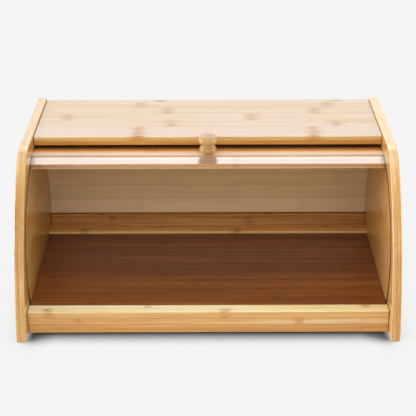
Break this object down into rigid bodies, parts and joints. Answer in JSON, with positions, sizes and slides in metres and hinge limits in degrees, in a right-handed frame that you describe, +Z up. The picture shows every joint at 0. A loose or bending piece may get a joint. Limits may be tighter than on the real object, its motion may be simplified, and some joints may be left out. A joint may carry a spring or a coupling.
{
  "type": "roll-top bread box",
  "caption": "Lacquered bamboo bread box with a roll-top tambour door, shown rolled open, dark floor panel and a small turned knob.",
  "frame": {"origin": "middle of the box's footprint, on the surface it stands on", "axes": "+X right along the box's length, +Y towards the back, +Z up; the open front faces -Y"},
  "size_m": [0.4, 0.258, 0.1814],
  "materials": {
    "bamboo": "clear gloss lacquer over laminated bamboo",
    "dark_wood": "dark stained, satin lacquer",
    "beech": "bare turned dowel",
    "screw_steel": "zinc plated",
    "cord": "waxed braided cord",
    "ferrule": "plain crimped sleeve"
  },
  "bodies": {
    "case": {"side_panel_left": "bamboo", "side_panel_right": "bamboo", "top_board": "bamboo", "front_sill": "bamboo", "floor_panel": "dark_wood", "rear_batten": "bamboo", "rear_rail": "bamboo", "back_panel": "bamboo", "top_board_dowels": "beech", "sill_dowels": "beech", "back_screws": "screw_steel"},
    "tambour": {"lead_slat": "bamboo", "slat_02": "bamboo", "slat_03": "bamboo", "slat_04": "bamboo", "slat_05": "bamboo", "slat_06": "bamboo", "slat_07": "bamboo", "slat_08": "bamboo", "slat_09": "bamboo", "slat_10": "bamboo", "slat_11": "bamboo", "link_cord_left": "cord", "link_cord_right": "cord", "cord_ferrules": "ferrule", "knob": "bamboo", "knob_screw": "screw_steel"}
  },
  "joints": [
    {"name": "roll_top", "type": "hinge", "parent": "case", "child": "tambour", "pos_m": [0, 0.006, 0.058], "axis": [1, 0, 0], "range_deg": [0, 93.5]}
  ]
}
